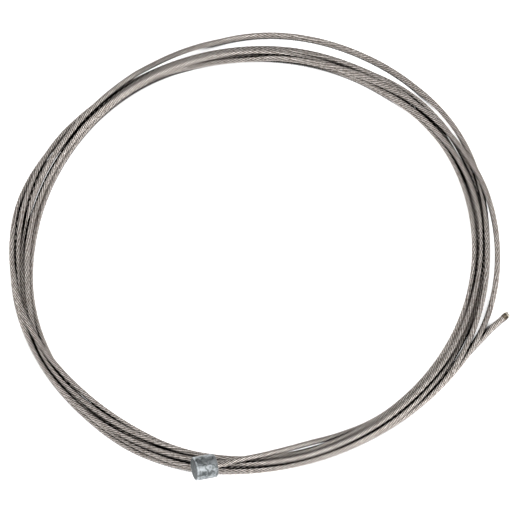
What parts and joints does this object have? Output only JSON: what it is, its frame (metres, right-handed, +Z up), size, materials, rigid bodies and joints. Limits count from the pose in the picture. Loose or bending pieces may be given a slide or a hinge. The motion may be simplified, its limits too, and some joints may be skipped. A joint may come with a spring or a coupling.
{
  "type": "bicycle shift cable",
  "caption": "Thin stranded steel inner cable for a bicycle shifter, lying as a loose round hank, with a short cast barrel head at one end and a fused free end.",
  "frame": {"origin": "centre of the hank's bounding box, on the surface that it lies on", "axes": "+Z up out of the surface, +X along the hank's longer side towards the free end, the head at -Y"},
  "size_m": [0.0957, 0.0922, 0.0093],
  "materials": {
    "stranded_steel": "bright drawn wire, slightly warm grey",
    "cast_zinc": "dull die-cast grey"
  },
  "bodies": {
    "root": {"inner_wire": "stranded_steel", "cable_head": "cast_zinc"}
  },
  "joints": []
}
